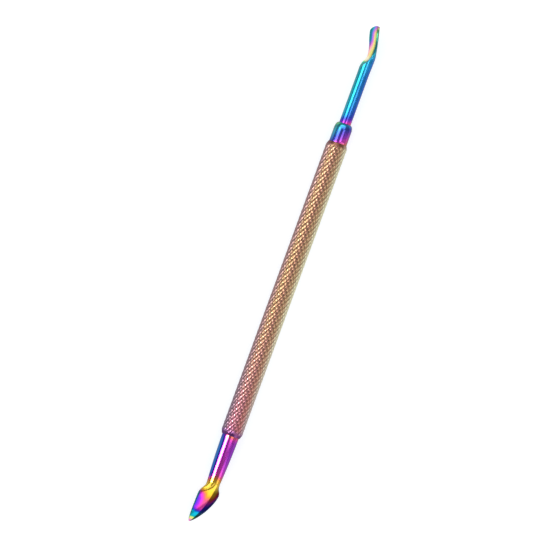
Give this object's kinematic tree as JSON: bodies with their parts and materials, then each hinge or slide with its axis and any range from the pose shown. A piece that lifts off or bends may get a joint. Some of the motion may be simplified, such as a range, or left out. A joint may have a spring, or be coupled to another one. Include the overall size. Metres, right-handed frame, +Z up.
{
  "type": "cuticle pusher",
  "caption": "Double-ended cuticle pusher: knurled round handle with a scooped pusher blade on one end and a pointed ridged spear blade on the other.",
  "frame": {"origin": "on the handle's axis, at the middle of its length", "axes": "+X along the handle towards the scooped pusher blade, +Z up when the tool lies on a table, +Y to the side that the pusher's dish is rolled towards"},
  "size_m": [0.1353, 0.0058, 0.006],
  "materials": {
    "knurled_grip": "knurled, rainbow vapour coating, copper to rose",
    "collar_steel": "polished, rainbow vapour coating, blue to violet",
    "pusher_steel": "polished, rainbow vapour coating, cyan to blue",
    "spear_steel": "polished, rainbow vapour coating, magenta to gold"
  },
  "bodies": {
    "root": {"grip_tube": "knurled_grip", "pusher_collar": "collar_steel", "cuticle_pusher": "pusher_steel", "spear_pick": "spear_steel"}
  },
  "joints": []
}
